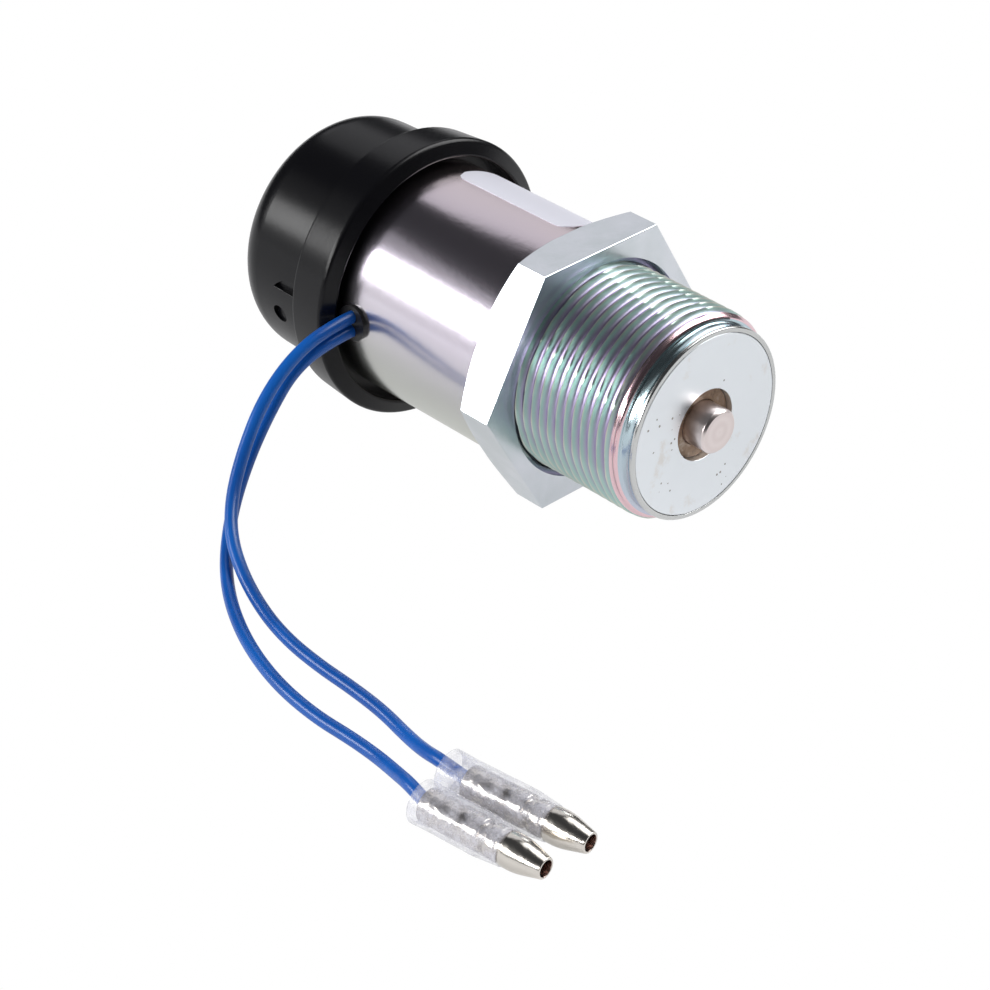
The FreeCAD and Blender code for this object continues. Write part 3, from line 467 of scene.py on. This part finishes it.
BUSH_BORE = 3.2
BUSH_RADIUS = 5.08
BUSH_FRONT = 18.55
BUSH_REAR = 15.15

bush_bronze, bush_shader, bush_tree = material("sintered_bronze", (0.20, 0.13, 0.085), 0.46, metallic=0.7)
bush_patches = ramp(bush_tree, grain(bush_tree, 350.0, 5.0, 0.7), [
    (0.30, (0.045, 0.030, 0.022)), (0.52, (0.26, 0.17, 0.11)), (0.75, (0.50, 0.42, 0.34))])
bush_tree.links.new(bush_patches, bush_shader.inputs["Base Color"])
bumped(bush_tree, bush_shader, grain(bush_tree, 900.0, 4.0, 0.8), 0.5)
bush = turned("bronze_bush", [
    (BUSH_REAR, BUSH_BORE), (BUSH_FRONT, BUSH_BORE, 0.2), (BUSH_FRONT, BUSH_RADIUS, 0.15),
    (BUSH_REAR, BUSH_RADIUS)], bush_bronze, closed=True)
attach(bush, "housing")
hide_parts("front_bush")


# Pin: ground stainless steel with a small chamfer and faint rings from turning on its end. It
# is pressed into the armature and slides with it.

PIN_RADIUS = 3.15
PIN_TIP = 22.1
PIN_REAR = -38.9
PIN_CHAMFER = 0.35

pin_steel, pin_shader, pin_tree = material("pin_steel", (0.72, 0.64, 0.63), 0.30, metallic=1.0)
pin_place = around_axis(pin_tree)
rings = number(pin_tree, "SINE", number(pin_tree, "MULTIPLY", pin_place["Radius"], 4.2))
on_end = number(pin_tree, "GREATER_THAN", pin_place["Along"], PIN_TIP - 0.05)
ring_shade = number(pin_tree, "MULTIPLY", number(pin_tree, "MULTIPLY", rings, 0.12), on_end)
pin_tree.links.new(blended(pin_tree, number(pin_tree, "ADD", 0.5, ring_shade),
                           (0.74, 0.64, 0.62), (0.94, 0.86, 0.84)), pin_shader.inputs["Base Color"])
bumped(pin_tree, pin_shader, grain(pin_tree, 900.0, 3.0, 0.7), 0.12)
pin = turned("ground_pin", [
    (PIN_TIP, 0.0), (PIN_TIP, PIN_RADIUS - PIN_CHAMFER, 0.1), (PIN_TIP - PIN_CHAMFER, PIN_RADIUS, 0.1),
    (PIN_REAR, PIN_RADIUS, 0.2), (PIN_REAR, 0.0)], pin_steel, steps=128)
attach(pin, "plunger")
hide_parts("pin")


# Lock nut: a thin hexagon nut in clear blue zinc that turns on the nose thread. Its rear
# corners are turned off, its front face is plain with sharp corners, and both ends of its bore
# are countersunk.

NUT_FLATS = 18.0
NUT_THICKNESS = 6.6
NUT_BORE = 15.05
NUT_COUNTERSINK = 0.8
NUT_CORNER_CUT = 1.5
NUT_EDGE = 0.12
NUT_COLUMNS = 720

nut_zinc, nut_shader, nut_tree = material("clear_zinc", (0.76, 0.80, 0.84), 0.24, metallic=1.0)
nut_tree.links.new(ramp(nut_tree, grain(nut_tree, 120.0, 4.0, 0.6), [
    (0.3, (0.72, 0.77, 0.80)), (0.7, (0.82, 0.85, 0.90))]), nut_shader.inputs["Base Color"])
nut_tree.links.new(spread(nut_tree, grain(nut_tree, 400.0, 4.0, 0.7), 0.17, 0.30),
                   nut_shader.inputs["Roughness"])
bumped(nut_tree, nut_shader, grain(nut_tree, 1100.0, 3.0, 0.7), 0.10)


def hexagon_nut():
    """A hexagon in polar columns, so that its flats, corners and turned cone are all exact."""
    sixth = TAU / 6
    cone_start = NUT_FLATS / math.cos(sixth / 2) - NUT_CORNER_CUT * math.sqrt(3)
    profiles = []
    for step in range(NUT_COLUMNS):
        angle = TAU * step / NUT_COLUMNS
        reach = NUT_FLATS / math.cos(angle % sixth - sixth / 2)
        rear_reach = min(reach, cone_start)
        rear = -NUT_THICKNESS + max(0.0, reach - cone_start) / math.sqrt(3)
        profiles.append((angle, [
            (-NUT_COUNTERSINK, NUT_BORE), (0.0, NUT_BORE + NUT_COUNTERSINK), (0.0, reach - NUT_EDGE),
            (-NUT_EDGE * 0.35, reach - NUT_EDGE * 0.35), (-NUT_EDGE, reach), (rear + NUT_EDGE, reach),
            (rear, reach - NUT_EDGE * 0.6), (-NUT_THICKNESS, rear_reach - NUT_EDGE),
            (-NUT_THICKNESS, NUT_BORE + NUT_COUNTERSINK), (-NUT_THICKNESS + NUT_COUNTERSINK, NUT_BORE),
        ]))
    vertices, rows = [], []
    for place in range(len(profiles[0][1])):
        rows.append(len(vertices))
        for angle, profile in profiles:
            along, radius = profile[place]
            vertices.append((along, radius * math.cos(angle), radius * math.sin(angle)))
    return shown("hexagon_lock_nut", vertices, ring_faces(rows, NUT_COLUMNS), nut_zinc, 20.0)


nut = hexagon_nut()
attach(nut, "lock_nut")
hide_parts("lock_nut")


# Rubber boot: one black moulding with a satin skin, pulled over the rear of the case. The CAD
# node has its shape, with the thick band, the seam, the vent and the side pocket.

boot_rubber, boot_shader, boot_tree = material(
    "boot_rubber", (0.0035, 0.0035, 0.0045), 0.24, Specular_IOR_Level=0.24)
boot_tree.links.new(spread(boot_tree, grain(boot_tree, 60.0, 4.0, 0.6), 0.20, 0.29),
                    boot_shader.inputs["Roughness"])
bumped(boot_tree, boot_shader, grain(boot_tree, 1400.0, 3.0, 0.6), 0.08)
finished(["rubber_boot"], boot_rubber)


# Grommet: a black rubber bush in the case's side hole that the leads come out through. The CAD
# node has its shape.

grommet_rubber, grommet_shader, grommet_tree = material("grommet_rubber", (0.006, 0.006, 0.007), 0.30)
bumped(grommet_tree, grommet_shader, grain(grommet_tree, 900.0), 0.08)
finished(["grommet"], grommet_rubber)


# Leads: blue vinyl-covered wires. They leave the grommet one above the other, cross in the
# camera's view while they hang, lie on the ground and end in the bullet terminals.

LEAD_DIAMETER = 1.8
GROUND = -19.9
LEAD_A_ROUTE = [
    (-30.6, -14.4, -0.15), (-30.6, -21.5, -0.15), (-31.6, -27.2, -2.9), (-31.2, -32.0, -7.4),
    (-30.2, -36.6, -12.0), (-28.0, -41.4, -16.4), (-24.1, -46.0, -19.1), (-18.7, -50.5, GROUND),
    (-12.1, -54.6, GROUND), (-4.6, -57.9, GROUND), (3.4, -60.1, GROUND), (11.4, -60.9, GROUND),
    (18.2, -60.5, GROUND), (23.2, -60.65, -19.8), (28.0, -61.9, -18.7), (32.3, -63.4, -17.2),
    (35.6, -63.84, -17.82),
]
LEAD_B_ROUTE = [
    (-30.6, -14.4, 1.95), (-30.6, -21.5, 1.95), (-30.8, -28.0, -0.3), (-30.2, -33.9, -4.4),
    (-28.6, -38.9, -9.5), (-26.0, -43.3, -13.7), (-21.9, -46.9, -16.5), (-16.3, -49.5, -18.5),
    (-9.8, -51.5, GROUND), (-2.8, -53.2, GROUND), (4.1, -53.8, GROUND), (10.8, -53.8, GROUND),
    (16.9, -54.2, GROUND), (22.4, -55.3, -19.8), (27.2, -56.7, -18.6), (31.6, -57.8, -17.0),
    (35.96, -57.31, -17.82),
]

lead_blue, lead_shader, lead_tree = material(
    "lead_blue", (0.005, 0.095, 0.41), 0.28, Specular_IOR_Level=0.5)
lead_patches = ramp(lead_tree, grain(lead_tree, 90.0, 3.0), [
    (0.35, (0.004, 0.072, 0.33)), (0.7, (0.006, 0.100, 0.42))])
lead_tree.links.new(lead_patches, lead_shader.inputs["Base Color"])


def lead(name, node, route):
    """A smooth round wire along a route of control points."""
    curve = bpy.data.curves.new(name, "CURVE")
    curve.dimensions = "3D"
    curve.bevel_depth = LEAD_DIAMETER / 2 * MM
    curve.bevel_resolution = 12
    curve.resolution_u = 16
    curve.use_fill_caps = True
    line = curve.splines.new("NURBS")
    line.points.add(len(route) - 1)
    for point, place in zip(line.points, route):
        point.co = (*(c * MM for c in place), 1.0)
    line.order_u = 3
    line.use_endpoint_u = True
    made = bpy.data.objects.new(name, curve)
    scene.collection.objects.link(made)
    curve.materials.append(lead_blue)
    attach(made, "housing")
    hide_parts(node)
    return made


lead_a = lead("lead_a_wire", "lead_a", LEAD_A_ROUTE)
lead_b = lead("lead_b_wire", "lead_b", LEAD_B_ROUTE)


# Bullet terminals: nickel-plated brass, each crimped round its lead's end, with a waist, a
# bead, a groove and a nose that tapers to a drilled end.


def laid(mouth, heading):
    """Where a connector lies: its sleeve's mouth and step both touch the ground."""
    drop = math.atan2(0.07, 12.6)
    return (Matrix.Translation(Vector(mouth) * MM) @ Matrix.Rotation(math.radians(heading), 4, "Z")
            @ Matrix.Rotation(drop, 4, "Y"))


CONNECTOR_A = laid((32.3, -64.25, -17.8), 7.2)
CONNECTOR_B = laid((32.7, -57.8, -17.8), 8.5)
BARREL_START = 3.3
BARREL_RADIUS = 2.2
WAIST_RADIUS = 1.75
GROOVE_RADIUS = 1.97
NOSE_RADIUS = 2.3
TIP_RADIUS = 1.38
TERMINAL_END = 21.25
DRILLING_RADIUS = 0.95
DRILLING_DEPTH = 1.65

bullet_nickel, bullet_shader, bullet_tree = material("bullet_nickel", (0.80, 0.76, 0.70), 0.20, metallic=1.0)
bullet_place = around_axis(bullet_tree)
# Inside the drilled end the nickel is painted a dark brown: painted shade in the hole.
drilling_painted_shade = number(bullet_tree, "MULTIPLY", number(bullet_tree, "LESS_THAN", bullet_place["Radius"], 1.12),
                     number(bullet_tree, "GREATER_THAN", bullet_place["Along"], 19.3))
bullet_tree.links.new(blended(bullet_tree, drilling_painted_shade, (0.80, 0.76, 0.70), (0.40, 0.31, 0.28)),
                      bullet_shader.inputs["Base Color"])
crimped = number(bullet_tree, "LESS_THAN", bullet_place["Along"], 15.7)
crimp_depth = number(bullet_tree, "ADD", number(bullet_tree, "MULTIPLY", crimped, 0.9), 0.4)
crimp_waves = number(bullet_tree, "MULTIPLY", grain(bullet_tree, 260.0, 3.0, 0.55, (0.7, 1, 1)), crimp_depth)
bumped(bullet_tree, bullet_shader, crimp_waves, 0.8, 0.0007)


def bullet(name, node, place):
    """One terminal, from its crimp barrel to its drilled end."""
    made = turned(name, [
        (BARREL_START, 0.0), (BARREL_START, BARREL_RADIUS, 0.2), (12.2, BARREL_RADIUS, 0.3),
        (12.3, WAIST_RADIUS, 0.2), (13.1, WAIST_RADIUS, 0.2), (13.2, BARREL_RADIUS, 0.3),
        (14.9, BARREL_RADIUS, 0.2), (15.0, GROOVE_RADIUS, 0.05), (15.6, GROOVE_RADIUS, 0.05),
        (15.7, NOSE_RADIUS - 0.03, 0.15), (17.6, NOSE_RADIUS, 1.1), (TERMINAL_END, TIP_RADIUS, 0.12),
        (TERMINAL_END, DRILLING_RADIUS + 0.15, 0.08), (TERMINAL_END - DRILLING_DEPTH, DRILLING_RADIUS),
        (TERMINAL_END - DRILLING_DEPTH, 0.0)], bullet_nickel, steps=96, place=place)
    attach(made, "housing")
    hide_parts(node)
    return made


bullet_a = bullet("bullet_terminal_a", "bullet_a", CONNECTOR_A)
bullet_b = bullet("bullet_terminal_b", "bullet_b", CONNECTOR_B)


# Sleeves: clear soft vinyl, a little cloudy, moulded wide at the mouth and pushed over each
# terminal so that it sits tight behind the nose.

SLEEVE_MOUTH = 2.9
SLEEVE_RADIUS = 2.8
SLEEVE_NECK = 2.42
SLEEVE_END = 15.6

sleeve_clear, sleeve_shader, sleeve_tree = material(
    "sleeve_clear", (0.70, 0.70, 0.77), 0.22, Specular_IOR_Level=0.6, Coat_Weight=0.5, Coat_Roughness=0.08)
facing = add_node(sleeve_tree, "ShaderNodeLayerWeight", inputs={"Blend": 0.35}).outputs["Facing"]
cloudy = number(sleeve_tree, "SUBTRACT", grain(sleeve_tree, 560.0, 4.0, 0.65), 0.36)
veil = number(sleeve_tree, "ADD", number(sleeve_tree, "MULTIPLY", facing, 0.36),
              number(sleeve_tree, "MULTIPLY", cloudy, 1.7))
sleeve_tree.links.new(spread(sleeve_tree, veil, 0.03, 0.62, end=0.75), sleeve_shader.inputs["Alpha"])
bumped(sleeve_tree, sleeve_shader, grain(sleeve_tree, 330.0, 3.0, 0.6), 0.6, 0.0004)


def sleeve(name, node, place, start):
    """A thin-walled sleeve that hugs the crimp and flares at its mouth."""
    made = turned(name, [
        (start, 2.6, 0.08), (start, SLEEVE_MOUTH, 0.12), (start + 2.5, SLEEVE_RADIUS, 0.6),
        (12.0, SLEEVE_RADIUS, 0.7), (14.2, 2.55, 0.6), (SLEEVE_END, SLEEVE_NECK, 0.1),
        (SLEEVE_END, SLEEVE_NECK - 0.2, 0.06), (start + 3.0, 2.25, 0.4)],
        sleeve_clear, steps=96, closed=True, place=place)
    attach(made, "housing")
    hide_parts(node)
    return made


sleeve_a = sleeve("clear_sleeve_a", "sleeve_a", CONNECTOR_A, 2.4)
sleeve_b = sleeve("clear_sleeve_b", "sleeve_b", CONNECTOR_B, 0.0)


# Floor: a plain pale sheet of paper under the part. The camera sees it as pure white, and the
# part sees it as a paper that glows a little.

FLOOR_HALF = 0.45
FLOOR_HEIGHT = -0.0209

floor_paper = bpy.data.materials.new("floor_paper")
floor_paper.use_nodes = True
floor_tree = floor_paper.node_tree
floor_tree.nodes.clear()
seen_white = add_node(floor_tree, "ShaderNodeEmission", inputs={"Color": (1, 1, 1, 1), "Strength": 1.0})
paper = add_node(floor_tree, "ShaderNodeBsdfDiffuse", inputs={"Color": (0.33, 0.33, 0.34, 1)})
paper_glow = add_node(floor_tree, "ShaderNodeEmission", inputs={"Color": (1, 1, 1, 1), "Strength": 0.45})
lit_paper = add_node(floor_tree, "ShaderNodeAddShader", inputs={
    0: paper.outputs[0], 1: paper_glow.outputs[0]})
floor_seen = add_node(floor_tree, "ShaderNodeLightPath").outputs["Is Camera Ray"]
floor_mix = add_node(floor_tree, "ShaderNodeMixShader", inputs={
    0: floor_seen, 1: lit_paper.outputs[0], 2: seen_white.outputs[0]})
add_node(floor_tree, "ShaderNodeOutputMaterial", inputs={"Surface": floor_mix.outputs[0]})
floor_mesh = bpy.data.meshes.new("floor")
floor_mesh.from_pydata([
    (-FLOOR_HALF, -FLOOR_HALF, FLOOR_HEIGHT), (FLOOR_HALF, -FLOOR_HALF, FLOOR_HEIGHT),
    (FLOOR_HALF, FLOOR_HALF, FLOOR_HEIGHT), (-FLOOR_HALF, FLOOR_HALF, FLOOR_HEIGHT)], [], [(0, 1, 2, 3)])
floor_mesh.materials.append(floor_paper)
floor = bpy.data.objects.new("floor", floor_mesh)
scene.collection.objects.link(floor)


# Lights: a bright long soft box low on the left with a dim one above and one under it, a large
# one high on the right with a brighter one before it, and a dim one towards the boot's end.
# Each is given by its direction from the part, its distance, width, height and brightness.

LIT_POINT = Vector((-0.005, -0.008, 0.0))


def soft_box(name, direction, distance, width, height, radiance, colour=(1, 1, 1)):
    """A rectangular lamp that faces the part, given by the brightness of its face."""
    data = bpy.data.lights.new(name, "AREA")
    data.shape = "RECTANGLE"
    data.size, data.size_y = width, height
    data.energy = radiance * math.pi * width * height
    data.color = colour
    lamp = bpy.data.objects.new(name, data)
    away = Vector(direction).normalized()
    facing_part = away.to_track_quat("Z", "Y").to_matrix().to_4x4()
    lamp.matrix_world = Matrix.Translation(LIT_POINT + away * distance) @ facing_part
    scene.collection.objects.link(lamp)


soft_box("left_box", (-0.30, -0.87, 0.365), 0.60, 0.84, 0.19, 9.0)
soft_box("left_edge_box", (-0.60, -0.56, 0.56), 0.62, 0.50, 0.15, 0.30)
soft_box("low_left_box", (-0.62, -0.78, 0.05), 0.64, 0.42, 0.14, 0.62)
soft_box("top_box", (0.12, 0.66, 0.74), 0.70, 0.46, 0.80, 1.2)
soft_box("overhead_box", (0.27, 0.70, 0.66), 0.66, 0.46, 0.60, 4.6)
soft_box("rear_box", (-0.62, 0.52, 0.58), 0.70, 0.44, 0.42, 0.70, (0.97, 0.97, 1.0))


# Surroundings: a dim room that the part reflects, seen by the camera as pure white.

world = bpy.data.worlds.new("world")
world.use_nodes = True
scene.world = world
world_tree = world.node_tree
world_tree.nodes.clear()
white_around = add_node(world_tree, "ShaderNodeBackground", inputs={"Color": (1, 1, 1, 1), "Strength": 1.0})
dim_around = add_node(world_tree, "ShaderNodeBackground", inputs={
    "Color": (0.9, 0.93, 1, 1), "Strength": 0.035})
world_seen = add_node(world_tree, "ShaderNodeLightPath").outputs["Is Camera Ray"]
world_mix = add_node(world_tree, "ShaderNodeMixShader", inputs={
    0: world_seen, 1: dim_around.outputs[0], 2: white_around.outputs[0]})
add_node(world_tree, "ShaderNodeOutputWorld", inputs={"Surface": world_mix.outputs[0]})


# Camera: a long lens, above and to the nose's side of the solenoid, which lies level. Its three
# directions point to the right and the top of the picture and back from the part.

CAMERA_PLACE = Vector((236.353, -242.327, 206.276)) * MM
CAMERA_RIGHT = Vector((0.68634, 0.72728, 0.0))
CAMERA_UP = Vector((-0.40509, 0.38229, 0.83051))
CAMERA_BACK = Vector((0.60401, -0.57002, 0.55700))

camera_data = bpy.data.cameras.new("camera")
camera_data.sensor_width = 36.0
camera_data.lens = 107.05
camera_data.clip_start = 0.01
camera_data.clip_end = 10.0
camera = bpy.data.objects.new("camera", camera_data)
camera.matrix_world = Matrix.Translation(CAMERA_PLACE) @ Matrix(
    (CAMERA_RIGHT, CAMERA_UP, CAMERA_BACK)).transposed().to_4x4()
scene.collection.objects.link(camera)
scene.camera = camera
scene.view_settings.view_transform = "Standard"
